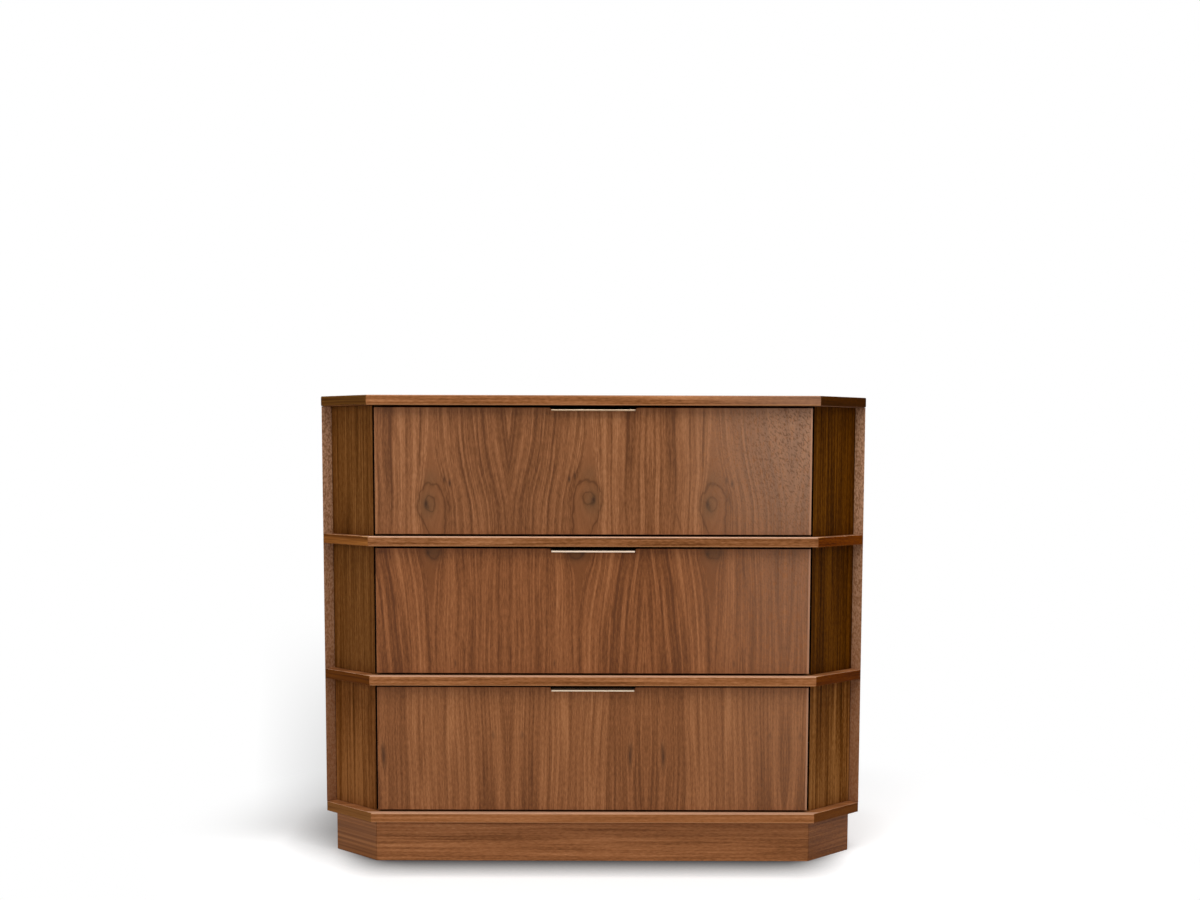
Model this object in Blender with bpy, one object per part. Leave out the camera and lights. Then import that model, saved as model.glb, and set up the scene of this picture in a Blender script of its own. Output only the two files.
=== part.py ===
"""A three-drawer walnut dresser with canted front corners.

Metres, +Z up. The front faces -Y, and the origin is the middle of the footprint, on the floor.
Plan sizes are measured from the front edge of the shelves, going back, and depth_to_y turns them
into world Y. Every joint between two pieces keeps JOINT_GAP, as glue and lacquer would.
"""

import math

import bmesh
import bpy
from mathutils import Vector

# Case
CASE_WIDTH = 1.016
OVERALL_DEPTH = 0.480
OVERALL_HEIGHT = 0.862
CANT_WIDTH = 0.098
SHELF_BOARD = 0.018
SIDE_BOARD = 0.016
CANT_BOARD = 0.016
WALL_BOARD = 0.016
BACK_BOARD = 0.009
TOP_OVERHANG = 0.001
BAY_INSET = 0.007
JOINT_GAP = 0.0003
ARRIS = 0.002
SMALL_ARRIS = 0.0006
SHARP_ANGLE = math.radians(30)

# Plinth
PLINTH_HEIGHT = 0.076
PLINTH_SETBACK = 0.018
PLINTH_BOARD = 0.018

# Drawers
FRONT_BOARD = 0.018
FRONT_RECESS = 0.0125
GAP_ABOVE = 0.004
GAP_BELOW = 0.004
GAP_BESIDE = 0.0048
BOX_BOARD = 0.012
BOX_REAR_GAP = 0.0192
BOX_LIFT = 0.010
BOX_TOP_DROP = 0.040
BOX_BACK_DROP = 0.008
BOTTOM_BOARD = 0.006
BOTTOM_LIFT = 0.010
GROOVE_DEPTH = 0.005

# Edge pulls
PULL_LENGTH = 0.1524
PULL_SHEET = 0.002
PULL_PROJECTION = 0.0085
PULL_LIP = 0.0032
PULL_FLANGE = 0.016
PULL_DROP = 0.0032
NOTCH_SIDE_GAP = 0.001
NOTCH_CORNER = 0.003

# Ball-bearing slides: a cabinet member, a middle member and a drawer member, one in another
SLIDE_SETBACK = 0.0035
SLIDE_REAR_GAP = 0.036
SLIDE_HEIGHT = 0.045
SLIDE_WIDTH = 0.0124
SLIDE_SHEET = 0.0012
RUNNING_GAP = 0.0004
OUTER_RACE = 0.0018
INNER_RACE = 0.0012
RACE_CURL = 0.001

TIERS = ("bottom", "middle", "top")
SIDES = (("left", -1), ("right", 1))
ROOT_TWO = math.sqrt(2)

# Derived sizes
CASE_DEPTH = OVERALL_DEPTH - TOP_OVERHANG
HALF_WIDTH = CASE_WIDTH / 2
BAY_HALF = HALF_WIDTH - CANT_WIDTH - BAY_INSET
FRONT_HALF = BAY_HALF - GAP_BESIDE
BAY_CLEAR = (OVERALL_HEIGHT - PLINTH_HEIGHT - SHELF_BOARD) / len(TIERS) - SHELF_BOARD
FRONT_HEIGHT = BAY_CLEAR - GAP_ABOVE - GAP_BELOW
BOX_HEIGHT = FRONT_HEIGHT - BOX_LIFT - BOX_TOP_DROP
BOX_HALF = BAY_HALF - SLIDE_WIDTH - 2 * JOINT_GAP
BOX_INNER_HALF = BOX_HALF - BOX_BOARD
BOX_START = FRONT_RECESS + FRONT_BOARD + JOINT_GAP
BACK_FACE = CASE_DEPTH - BACK_BOARD
BOX_DEPTH = BACK_FACE - BOX_REAR_GAP - BOX_START
SLIDE_START = FRONT_RECESS + FRONT_BOARD + SLIDE_SETBACK
SLIDE_LENGTH = BACK_FACE - SLIDE_REAR_GAP - SLIDE_START
NOTCH_DEPTH = PULL_DROP + PULL_SHEET + JOINT_GAP

# The cant panel's faces lie along lines of x - depth = constant. The first line passes through the
# inner corner of the side panel's front edge, which is cut square to the cant.
CANT_FACE_LINE = HALF_WIDTH - CANT_WIDTH - 2 * SIDE_BOARD
CANT_BACK_LINE = CANT_FACE_LINE - CANT_BOARD * ROOT_TWO

FRONT_Y = TOP_OVERHANG - OVERALL_DEPTH / 2

FINISHES = {
    "walnut_front": ((0.165, 0.082, 0.044), 0.42, 0.0),
    "walnut_cant": ((0.120, 0.060, 0.030), 0.42, 0.0),
    "walnut_shelf": ((0.260, 0.130, 0.068), 0.40, 0.0),
    "walnut_side": ((0.190, 0.098, 0.056), 0.42, 0.0),
    "birch_box": ((0.620, 0.470, 0.300), 0.50, 0.0),
    "back_ply": ((0.430, 0.300, 0.180), 0.60, 0.0),
    "zinc_steel": ((0.560, 0.570, 0.580), 0.30, 1.0),
    "rose_brass": ((0.830, 0.640, 0.500), 0.28, 1.0),
}


def depth_to_y(depth):
    """World Y of a point that lies this far behind the front edge of the shelves."""
    return FRONT_Y + depth


def bay_floor(tier):
    """Height of the top of the shelf under this tier's drawer."""
    return PLINTH_HEIGHT + SHELF_BOARD + TIERS.index(tier) * (BAY_CLEAR + SHELF_BOARD)


def finish(name):
    """The named finish as a material, made the first time it is asked for."""
    if name in bpy.data.materials:
        return bpy.data.materials[name]
    colour, roughness, metallic = FINISHES[name]
    material = bpy.data.materials.new(name)
    material.use_nodes = True
    shader = material.node_tree.nodes["Principled BSDF"]
    shader.inputs["Base Color"].default_value = (*colour, 1.0)
    shader.inputs["Roughness"].default_value = roughness
    shader.inputs["Metallic"].default_value = metallic
    material.diffuse_color = (*colour, 1.0)
    return material


def frame_empty(name, location):
    """An empty that carries the pieces of one body, with its origin on that body's slide axis."""
    empty = bpy.data.objects.new(name, None)
    empty.empty_display_size = 0.05
    empty.location = location
    bpy.context.scene.collection.objects.link(empty)
    return empty


def extrude(name, outline, along, start, end, parent, finish_name):
    """A straight-sided solid: a closed outline swept along one world axis from start to end.

    The outline's two coordinates are the other two axes, in the order X, Y, Z.
    """
    index = "XYZ".index(along)

    def corner(point, level):
        values = list(point)
        values.insert(index, level)
        return Vector(values) - parent.location

    mesh = bmesh.new()
    near = [mesh.verts.new(corner(point, start)) for point in outline]
    far = [mesh.verts.new(corner(point, end)) for point in outline]
    mesh.faces.new(near)
    mesh.faces.new(far)
    for i in range(len(outline)):
        j = (i + 1) % len(outline)
        mesh.faces.new((near[i], near[j], far[j], far[i]))
    bmesh.ops.recalc_face_normals(mesh, faces=mesh.faces)
    data = bpy.data.meshes.new(name)
    mesh.to_mesh(data)
    mesh.free()
    data.materials.append(finish(finish_name))
    piece = bpy.data.objects.new(name, data)
    piece.parent = parent
    bpy.context.scene.collection.objects.link(piece)
    return piece


def ease(piece, width, segments, share=lambda middle: 1.0):
    """Rounds a piece's sharp outward edges, as sanding does.

    share gives the part of the width that an edge gets, from the world position of its middle.
    """
    mesh = bmesh.new()
    mesh.from_mesh(piece.data)
    weights = mesh.edges.layers.float.new("bevel_weight_edge")
    for edge in mesh.edges:
        if edge.is_convex and edge.calc_face_angle() > SHARP_ANGLE:
            middle = (edge.verts[0].co + edge.verts[1].co) / 2
            edge[weights] = share(piece.parent.location + middle)
    mesh.to_mesh(piece.data)
    mesh.free()
    bevel = piece.modifiers.new("eased edges", "BEVEL")
    bevel.width = width
    bevel.segments = segments
    bevel.limit_method = "WEIGHT"


def in_front(middle):
    """1 for an edge on the front or a canted corner of the case, and 0 for one further back."""
    return float(middle.y < depth_to_y(CANT_WIDTH))


def box_outline(low_a, high_a, low_b, high_b):
    return [(low_a, low_b), (high_a, low_b), (high_a, high_b), (low_a, high_b)]


def to_world(plan):
    """A plan outline of (x, depth) points in world X and Y."""
    return [(x, depth_to_y(depth)) for x, depth in plan]


def mirrored(half_plan):
    """A plan outline from its right half, given from the front to the back."""
    return half_plan + [(-x, depth) for x, depth in reversed(half_plan)]


def offset_shelf(outwards):
    """The shelves' plan outline, moved outwards at the front, cants and ends. The back stays."""
    cant_line = HALF_WIDTH - CANT_WIDTH + outwards * ROOT_TWO
    end = HALF_WIDTH + outwards
    return mirrored([(cant_line - outwards, -outwards), (end, end - cant_line), (end, CASE_DEPTH)])


def make_shelf_boards(case):
    """The top, the base shelf and the two dividers, all with the same canted front corners."""
    top = extrude("top_slab", to_world(offset_shelf(TOP_OVERHANG)), "Z",
                  OVERALL_HEIGHT - SHELF_BOARD, OVERALL_HEIGHT, case, "walnut_shelf")
    base = extrude("base_shelf", to_world(offset_shelf(0)), "Z",
                   PLINTH_HEIGHT, PLINTH_HEIGHT + SHELF_BOARD, case, "walnut_shelf")
    # A divider fits between the sides, and its front corners lap over their angled front edges.
    inner = HALF_WIDTH - SIDE_BOARD - JOINT_GAP
    lap_line = HALF_WIDTH + CANT_WIDTH - JOINT_GAP * ROOT_TWO
    plan = mirrored([
        (HALF_WIDTH - CANT_WIDTH, 0),
        (HALF_WIDTH - JOINT_GAP / ROOT_TWO, CANT_WIDTH - JOINT_GAP / ROOT_TWO),
        (inner, lap_line - inner),
        (inner, BACK_FACE - JOINT_GAP),
    ])
    dividers = []
    for name, tier in (("lower_divider", "middle"), ("upper_divider", "top")):
        level = bay_floor(tier)
        dividers.append(extrude(name, to_world(plan), "Z", level - SHELF_BOARD, level, case,
                                "walnut_shelf"))
    ease(top, ARRIS, 3)
    for board in (base, *dividers):
        ease(board, ARRIS, 3, in_front)


def make_sides_and_back(case):
    """The side panels, whose front edges are cut square to the cants, and the back between them."""
    low = PLINTH_HEIGHT + SHELF_BOARD + JOINT_GAP
    high = OVERALL_HEIGHT - SHELF_BOARD - JOINT_GAP
    inner = HALF_WIDTH - SIDE_BOARD
    for side, sign in SIDES:
        plan = [
            (sign * HALF_WIDTH, CANT_WIDTH),
            (sign * HALF_WIDTH, CASE_DEPTH),
            (sign * inner, CASE_DEPTH),
            (sign * inner, CANT_WIDTH + SIDE_BOARD),
        ]
        panel = extrude(f"side_panel_{side}", to_world(plan), "Z", low, high, case, "walnut_side")
        ease(panel, SMALL_ARRIS, 2)
    reach = inner - JOINT_GAP
    plan = box_outline(-reach, reach, BACK_FACE, CASE_DEPTH)
    extrude("back_panel", to_world(plan), "Z", low, high, case, "back_ply")


def make_bay(tier, case):
    """One tier's angled corner panels, and the walls behind them that carry the slides."""
    low = bay_floor(tier) + JOINT_GAP
    high = bay_floor(tier) + BAY_CLEAR - JOINT_GAP
    outer = HALF_WIDTH - SIDE_BOARD - JOINT_GAP
    wall_outer = BAY_HALF + WALL_BOARD
    wall_line = CANT_BACK_LINE - JOINT_GAP * ROOT_TWO
    for side, sign in SIDES:
        plan = [
            (sign * BAY_HALF, BAY_HALF - CANT_FACE_LINE),
            (sign * outer, outer - CANT_FACE_LINE),
            (sign * outer, outer - CANT_BACK_LINE),
            (sign * BAY_HALF, BAY_HALF - CANT_BACK_LINE),
        ]
        panel = extrude(f"{tier}_cant_panel_{side}", to_world(plan), "Z", low, high, case,
                        "walnut_cant")
        ease(panel, SMALL_ARRIS, 1)
        plan = [
            (sign * BAY_HALF, BAY_HALF - wall_line),
            (sign * wall_outer, wall_outer - wall_line),
            (sign * wall_outer, BACK_FACE - JOINT_GAP),
            (sign * BAY_HALF, BACK_FACE - JOINT_GAP),
        ]
        extrude(f"{tier}_bay_wall_{side}", to_world(plan), "Z", low, high, case, "birch_box")


def make_plinth(case):
    """The recessed plinth: a front, two mitred cants and two sides, open at the back."""
    high = PLINTH_HEIGHT - JOINT_GAP
    outer = offset_shelf(-PLINTH_SETBACK)
    inner = offset_shelf(-PLINTH_SETBACK - PLINTH_BOARD)
    (corner, front), (end, shoulder), _ = outer[:3]
    (inner_corner, inner_front), (inner_end, inner_shoulder), _ = inner[:3]
    back = CASE_DEPTH - PLINTH_SETBACK
    half_gap = JOINT_GAP / 2
    # Half the joint's gap, taken off along each board, on both faces of the mitre.
    cut = half_gap / math.cos(math.radians(22.5))
    slant = cut / ROOT_TWO
    plan = mirrored([(corner - cut, front), (inner_corner - cut, inner_front)])
    boards = [extrude("plinth_front", to_world(plan), "Z", 0, high, case, "walnut_shelf")]
    for side, sign in SIDES:
        plan = [
            (sign * (corner + slant), front + slant),
            (sign * (end - slant), shoulder - slant),
            (sign * (inner_end - slant), inner_shoulder - slant),
            (sign * (inner_corner + slant), inner_front + slant),
        ]
        boards.append(extrude(f"plinth_cant_{side}", to_world(plan), "Z", 0, high, case,
                              "walnut_cant"))
        plan = [
            (sign * end, shoulder + cut),
            (sign * end, back),
            (sign * inner_end, back),
            (sign * inner_end, inner_shoulder + cut),
        ]
        boards.append(extrude(f"plinth_side_{side}", to_world(plan), "Z", 0, high, case,
                              "walnut_side"))
    for board in boards:
        ease(board, SMALL_ARRIS, 1)


def bent_sheet(path, thickness):
    """The closed outline of a strip of sheet metal whose middle follows path, bent at its points."""
    points = [Vector(point) for point in path]
    near, far = [], []
    for i, here in enumerate(points):
        before = (here - points[i - 1]).normalized() if i > 0 else None
        after = (points[i + 1] - here).normalized() if i + 1 < len(points) else None
        along = ((before or after) + (after or before)).normalized()
        reach = thickness / 2 / along.dot(after or before)
        across = Vector((-along.y, along.x)) * reach
        near.append(tuple(here + across))
        far.append(tuple(here - across))
    return near + far[::-1]


def slide_paths():
    """The three members' cross-sections, as (distance from the bay wall, height) paths."""
    half_sheet = SLIDE_SHEET / 2
    flange = SLIDE_HEIGHT / 2 - half_sheet
    middle_outside = SLIDE_HEIGHT / 2 - SLIDE_SHEET - OUTER_RACE
    middle_flange = middle_outside - half_sheet
    middle_inside = middle_outside - SLIDE_SHEET
    drawer_flange = middle_inside - INNER_RACE - half_sheet
    drawer_web = SLIDE_WIDTH - half_sheet
    middle_web = SLIDE_SHEET + RUNNING_GAP + half_sheet
    lip = drawer_web - half_sheet - RUNNING_GAP - half_sheet
    middle_tip = drawer_web - half_sheet - RUNNING_GAP
    drawer_tip = middle_web + half_sheet + RUNNING_GAP + half_sheet
    cabinet = [
        (lip, middle_outside + RUNNING_GAP),
        (lip, flange - RACE_CURL),
        (lip - RACE_CURL, flange),
        (half_sheet, flange),
    ]
    middle = [(middle_tip, middle_flange), (middle_web, middle_flange)]
    drawer = [
        (drawer_tip, middle_inside - RUNNING_GAP - half_sheet),
        (drawer_tip + RACE_CURL, drawer_flange),
        (drawer_web, drawer_flange),
    ]
    return {
        member: path + [(out, -up) for out, up in reversed(path)]
        for member, path in (("cabinet", cabinet), ("middle", middle), ("drawer", drawer))
    }


def make_slides(tier, case, drawer, middles):
    """The two slides of one drawer. Each member belongs to the body that it moves with."""
    level = bay_floor(tier) + GAP_BELOW + BOX_LIFT + BOX_HEIGHT / 2
    start = depth_to_y(SLIDE_START)
    bodies = {"cabinet": case, "middle": middles, "drawer": drawer}
    for side, sign in SIDES:
        wall = BAY_HALF - JOINT_GAP
        for member, path in slide_paths().items():
            outline = [
                (sign * (wall - out), level + up) for out, up in bent_sheet(path, SLIDE_SHEET)
            ]
            extrude(f"{tier}_slide_{member}_{side}", outline, "Y", start, start + SLIDE_LENGTH,
                    bodies[member], "zinc_steel")


def front_outline(low, high):
    """A drawer front seen from the front, with the notch for its pull in the top edge."""
    notch = PULL_LENGTH / 2 + NOTCH_SIDE_GAP
    radius = min(NOTCH_CORNER, NOTCH_DEPTH)
    half = [(FRONT_HALF, low), (FRONT_HALF, high)]
    steps = 4
    for i in range(steps + 1):
        turn = math.radians(90 + 90 * i / steps)
        half.append((notch + radius + radius * math.cos(turn),
                     high - radius + radius * math.sin(turn)))
    half.append((notch, high - NOTCH_DEPTH))
    return mirrored(half)


def make_drawer_box(tier, drawer):
    """The front, the grooved sides, the back that stands on the bottom, and the bottom."""
    low = bay_floor(tier) + GAP_BELOW
    high = low + FRONT_HEIGHT
    face = depth_to_y(FRONT_RECESS)
    front = extrude(f"{tier}_drawer_front", front_outline(low, high), "Y",
                    face, face + FRONT_BOARD, drawer, "walnut_front")

    def notch_share(middle):
        in_notch = abs(middle.x) < PULL_LENGTH and middle.z > high - 2 * NOTCH_DEPTH
        return SMALL_ARRIS / ARRIS if in_notch else 1.0

    ease(front, ARRIS, 3, notch_share)

    start = depth_to_y(BOX_START)
    end = start + BOX_DEPTH
    box_low = low + BOX_LIFT
    box_high = box_low + BOX_HEIGHT
    bottom_low = box_low + BOTTOM_LIFT
    bottom_high = bottom_low + BOTTOM_BOARD
    groove = BOX_INNER_HALF + GROOVE_DEPTH
    for side, sign in SIDES:
        outline = [
            (sign * BOX_HALF, box_low),
            (sign * BOX_HALF, box_high),
            (sign * BOX_INNER_HALF, box_high),
            (sign * BOX_INNER_HALF, bottom_high + JOINT_GAP),
            (sign * groove, bottom_high + JOINT_GAP),
            (sign * groove, bottom_low - JOINT_GAP),
            (sign * BOX_INNER_HALF, bottom_low - JOINT_GAP),
            (sign * BOX_INNER_HALF, box_low),
        ]
        extrude(f"{tier}_drawer_side_{side}", outline, "Y", start, end, drawer, "birch_box")
    reach = groove - JOINT_GAP
    outline = box_outline(-reach, reach, bottom_low, bottom_high)
    extrude(f"{tier}_drawer_bottom", outline, "Y", start, end, drawer, "birch_box")
    reach = BOX_INNER_HALF - JOINT_GAP
    outline = box_outline(-reach, reach, bottom_high + JOINT_GAP, box_high - BOX_BACK_DROP)
    extrude(f"{tier}_drawer_back", outline, "Y", end - BOX_BOARD, end, drawer, "birch_box")


def make_pull(tier, drawer):
    """A bent edge pull: a lip in front, a plate across the notch and a flange screwed on behind."""
    plate = bay_floor(tier) + GAP_BELOW + FRONT_HEIGHT - PULL_DROP - PULL_SHEET / 2
    lip = depth_to_y(FRONT_RECESS - PULL_PROJECTION) + PULL_SHEET / 2
    flange = depth_to_y(BOX_START) + PULL_SHEET / 2
    path = [
        (lip, plate + PULL_SHEET / 2 - PULL_LIP),
        (lip, plate),
        (flange, plate),
        (flange, plate + PULL_SHEET / 2 - PULL_FLANGE),
    ]
    pull = extrude(f"{tier}_drawer_pull", bent_sheet(path, PULL_SHEET), "X",
                   -PULL_LENGTH / 2, PULL_LENGTH / 2, drawer, "rose_brass")
    ease(pull, SMALL_ARRIS, 2)


def make_dresser():
    for leftover in list(bpy.data.objects):
        bpy.data.objects.remove(leftover)
    case = frame_empty("carcass_frame", (0, 0, 0))
    make_shelf_boards(case)
    make_sides_and_back(case)
    make_plinth(case)
    for tier in TIERS:
        make_bay(tier, case)
        axis = (0, depth_to_y(FRONT_RECESS), bay_floor(tier) + BAY_CLEAR / 2)
        drawer = frame_empty(f"{tier}_drawer_frame", axis)
        middles = frame_empty(f"{tier}_slide_frame", axis)
        make_drawer_box(tier, drawer)
        make_pull(tier, drawer)
        make_slides(tier, case, drawer, middles)


make_dresser()
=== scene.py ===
# %% [markdown]
# # A walnut dresser with canted corners
#
# This script dresses a finished CAD model of a three-drawer dresser. The boards, drawers, slides
# and pulls are already there as solids, in metres, with +Z up and the front facing -Y. What is
# left to make is everything that the eye reads as wood and metal: veneer figure, edge bands,
# lacquer, plating, screws, and the light and lens of the photograph.

import math

import bmesh
import bpy
from mathutils import Matrix, Vector


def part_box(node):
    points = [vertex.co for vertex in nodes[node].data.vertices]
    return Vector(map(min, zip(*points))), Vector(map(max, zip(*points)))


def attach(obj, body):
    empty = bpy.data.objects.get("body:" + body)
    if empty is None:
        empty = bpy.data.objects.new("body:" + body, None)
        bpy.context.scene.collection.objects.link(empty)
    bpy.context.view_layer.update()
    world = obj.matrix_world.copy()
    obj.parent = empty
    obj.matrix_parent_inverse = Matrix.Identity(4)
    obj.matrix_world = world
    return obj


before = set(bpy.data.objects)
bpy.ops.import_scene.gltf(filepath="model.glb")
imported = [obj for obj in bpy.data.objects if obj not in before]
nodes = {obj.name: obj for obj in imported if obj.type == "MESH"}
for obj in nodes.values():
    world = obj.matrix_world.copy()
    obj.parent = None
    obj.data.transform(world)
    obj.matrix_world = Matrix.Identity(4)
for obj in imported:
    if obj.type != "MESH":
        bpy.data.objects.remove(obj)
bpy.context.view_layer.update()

# %% [markdown]
# ## Sizes read from the frame
#
# Later cells need to know where the boards' faces lie: the grain of a drawer front stops at its
# edges, and a screw has to sit on its flange. The sizes could be typed in again, but then they
# could drift from the solids, so they are read from the nodes' own boxes.

# %% Tiers, sides and the boxes of slab, shelf and fronts
TIERS = ("top", "middle", "bottom")
SIDES = (("left", -1), ("right", 1))

slab_low, slab_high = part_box("top_slab")
shelf_low, shelf_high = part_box("base_shelf")
case_front = shelf_low.y
front_box = {tier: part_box(f"{tier}_drawer_front") for tier in TIERS}
print("shelf front y", round(case_front, 4), "drawer face y", round(front_box["top"][0].y, 4))
print("half width", round(shelf_high.x, 4), "slab", round(slab_high.z - slab_low.z, 4), "thick")

# %% [markdown]
# ## The camera
#
# The photograph was taken from a little under the height of the top, almost square on, with the
# lens shifted up so that the dresser stands in the lower half of the frame. The position and the
# tilt were worked out from where the shelf corners fall in the picture. A tilt alone would make
# the uprights lean more than they do, so most of the framing is done with the lens shift.

# %% Camera
PHOTO_WIDTH, PHOTO_HEIGHT = 1200, 900
FOCAL_PIXELS = 1579.7
HORIZON_ROW = 603.3
CAMERA_DISTANCE = 2.873
CAMERA_HEIGHT = 0.761
CAMERA_SIDE = 0.0073
CAMERA_PITCH = 0.0958
CAMERA_YAW = -0.0019
CAMERA_ROLL = 0.0026
SENSOR = 36.0

lens = bpy.data.cameras.new("photo lens")
lens.sensor_width = SENSOR
lens.lens = SENSOR * FOCAL_PIXELS / PHOTO_WIDTH
lens.shift_y = (HORIZON_ROW - PHOTO_HEIGHT / 2) / PHOTO_WIDTH
camera = bpy.data.objects.new("photo camera", lens)
camera.location = (CAMERA_SIDE, case_front - CAMERA_DISTANCE, CAMERA_HEIGHT)
turn = (
    Matrix.Rotation(CAMERA_YAW, 3, "Z")
    @ Matrix.Rotation(math.pi / 2 - CAMERA_PITCH, 3, "X")
    @ Matrix.Rotation(CAMERA_ROLL, 3, "Z")
)
camera.rotation_euler = turn.to_euler()
bpy.context.scene.collection.objects.link(camera)
bpy.context.scene.camera = camera
bpy.context.scene.view_settings.view_transform = "Standard"
print("lens", round(lens.lens, 2), "mm, shift", round(lens.shift_y, 4))

# %% [markdown]
# ## Shader sums written as Python
#
# Wood is mostly arithmetic: distances, waves and masks added and multiplied. Wiring that by hand
# takes dozens of lines, so one small class wraps a socket and turns Python's operators into Math
# nodes. Numbers on their own stay in Python. Every other node comes from one method, which sets
# the node's settings first and then its sockets. A material and the world both have such nodes,
# so the method belongs to a net, and a finish is a net with a surface shader in it.

# %% Wires
class Wire:
    """One number that varies over a surface. Arithmetic on it adds the Math nodes."""

    def __init__(self, net, socket):
        self.net = net
        self.socket = socket

    def maths(self, operation, *values):
        return self.net.node("ShaderNodeMath", {"operation": operation}, dict(enumerate(values)))

    def __add__(self, other):
        return self.maths("ADD", self, other)

    def __radd__(self, other):
        return self.maths("ADD", other, self)

    def __sub__(self, other):
        return self.maths("SUBTRACT", self, other)

    def __rsub__(self, other):
        return self.maths("SUBTRACT", other, self)

    def __mul__(self, other):
        return self.maths("MULTIPLY", self, other)

    def __rmul__(self, other):
        return self.maths("MULTIPLY", other, self)

    def __truediv__(self, other):
        return self.maths("DIVIDE", self, other)

    def __rtruediv__(self, other):
        return self.maths("DIVIDE", other, self)

    def __pow__(self, other):
        return self.maths("POWER", self, other)

    def __neg__(self):
        return self.maths("MULTIPLY", self, -1.0)

    def __abs__(self):
        return self.maths("ABSOLUTE", self)

    def __gt__(self, other):
        return self.maths("GREATER_THAN", self, other)

    def __lt__(self, other):
        return self.maths("LESS_THAN", self, other)

    def smallest(self, other):
        return self.maths("MINIMUM", self, other)

    def largest(self, other):
        return self.maths("MAXIMUM", self, other)

    def exp(self):
        return self.maths("EXPONENT", self)

    def falloff(self, width):
        """A soft bump: 1 where this wire is 0, fading to nothing a few widths away."""
        scaled = self / width
        return (-(scaled * scaled)).exp()

    def rise(self, low, high):
        """0 below low, 1 above high and a smooth step between."""
        settings = {"interpolation_type": "SMOOTHSTEP"}
        return self.net.node(
            "ShaderNodeMapRange", settings, {"Value": self, "From Min": low, "From Max": high}
        )


print("reflected operators:", [name for name in vars(Wire) if name.startswith("__r")])


# %% Nets of nodes
class Net:
    """The nodes of a material or of the world."""

    def __init__(self, tree):
        self.tree = tree

    def node(self, kind, settings, sockets, output=0):
        """Adds a node, sets its settings, then its sockets, and returns one output as a Wire."""
        made = self.tree.nodes.new(kind)
        for setting, value in settings.items():
            if setting == "stops":
                self.set_stops(made.color_ramp, value)
            else:
                setattr(made, setting, value)
        inputs = [socket for socket in made.inputs if socket.enabled]
        for key, value in sockets.items():
            by_name = [socket for socket in inputs if socket.name == key]
            self.plug(by_name[0] if by_name else inputs[key], value)
        outputs = [socket for socket in made.outputs if socket.enabled]
        by_name = [socket for socket in outputs if socket.name == output]
        return Wire(self, by_name[0] if by_name else outputs[output])

    def plug(self, socket, value):
        if isinstance(value, Wire):
            self.tree.links.new(value.socket, socket)
        else:
            socket.default_value = value

    def set_stops(self, ramp, stops):
        while len(ramp.elements) < len(stops):
            ramp.elements.new(1.0)
        for element, (position, colour) in zip(ramp.elements, stops):
            element.position = position
            element.color = colour

    def mix_shaders(self, amount, under, over):
        return self.node("ShaderNodeMixShader", {}, {0: amount, 1: under, 2: over})


print("a net plugs, ramps and mixes:", [name for name in vars(Net) if not name.startswith("_")])


# %% Finishes
class Finish(Net):
    """A material under construction: its node tree and its shader."""

    def __init__(self, name):
        self.material = bpy.data.materials.new(name)
        self.material.use_nodes = True
        super().__init__(self.material.node_tree)
        self.shader = self.tree.nodes["Principled BSDF"]

    def place(self):
        """X, Y and Z of the surface in the dresser's frame, in metres. They ride with the piece."""
        spot = self.node("ShaderNodeTexCoord", {}, {}, output="Object")
        return [self.node("ShaderNodeSeparateXYZ", {}, {0: spot}, output=axis) for axis in "XYZ"]

    def facing(self):
        """X, Y and Z of the direction that the surface faces."""
        normal = self.node("ShaderNodeTexCoord", {}, {}, output="Normal")
        return [self.node("ShaderNodeSeparateXYZ", {}, {0: normal}, output=axis) for axis in "XYZ"]

    def vector(self, x, y, z):
        return self.node("ShaderNodeCombineXYZ", {}, {0: x, 1: y, 2: z})

    def noise(self, spot, detail=2.0, roughness=0.5):
        sockets = {"Vector": spot, "Scale": 1.0, "Detail": detail, "Roughness": roughness}
        return self.node("ShaderNodeTexNoise", {}, sockets)

    def ramp(self, amount, stops):
        return self.node("ShaderNodeValToRGB", {"stops": stops}, {0: amount})

    def blend(self, amount, under, over, how="MIX"):
        settings = {"data_type": "RGBA", "blend_type": how}
        sockets = {"Factor": amount, "A": under, "B": over}
        return self.node("ShaderNodeMix", settings, sockets, output="Result")

    def surface(self, colour, roughness, height=None, depth=0.0001, constants=()):
        """Feeds the shader. depth is the relief's, in metres, and constants name other sockets."""
        self.plug(self.shader.inputs["Base Color"], colour)
        self.plug(self.shader.inputs["Roughness"], roughness)
        if height is not None:
            sockets = {"Height": height, "Distance": depth, "Strength": 1.0}
            relief = self.node("ShaderNodeBump", {}, sockets)
            self.plug(self.shader.inputs["Normal"], relief)
        for name, value in constants:
            self.shader.inputs[name].default_value = value
        return self.material


def tint(red, green, blue):
    """A colour picked in ordinary 0-255 display values, as the linear colour that shaders use."""
    linear = []
    for part in (red, green, blue):
        part /= 255
        linear.append(part / 12.92 if part <= 0.04045 else ((part + 0.055) / 1.055) ** 2.4)
    return (*linear, 1.0)


BLACK, WHITE = (0, 0, 0, 1), (1, 1, 1, 1)
print("a mid walnut brown in linear light:", [round(part, 3) for part in tint(132, 86, 58)])

# %% [markdown]
# ## Floor and backdrop
#
# The dresser stands on a white sweep, with only a soft grey shadow at its foot. A lit floor is
# never exactly white, so to the camera, to reflections and to glass it also glows a little, and
# further out it turns into the same white as the backdrop, so no horizon shows.
#
# The photograph's shadow is uneven, so the floor's is built from three painted shades, laid into
# its colour and its glow. The near one is an ambient occlusion term close to the plinth, where the
# floor sees less of the room. It is almost cleared at the lit right end and thinned at the left
# one. The wide one is a second occlusion term that reaches further, beside the left end. The cast
# one is a painted shadow, a broad band that runs behind the case from its left end, on the side
# away from the lamp at the right. The glow is painted light, stronger at the right end and in front
# of the left corner, where the photograph's floor is almost white.

# %% Floor mesh
FLOOR_REACH = 14.0

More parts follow.
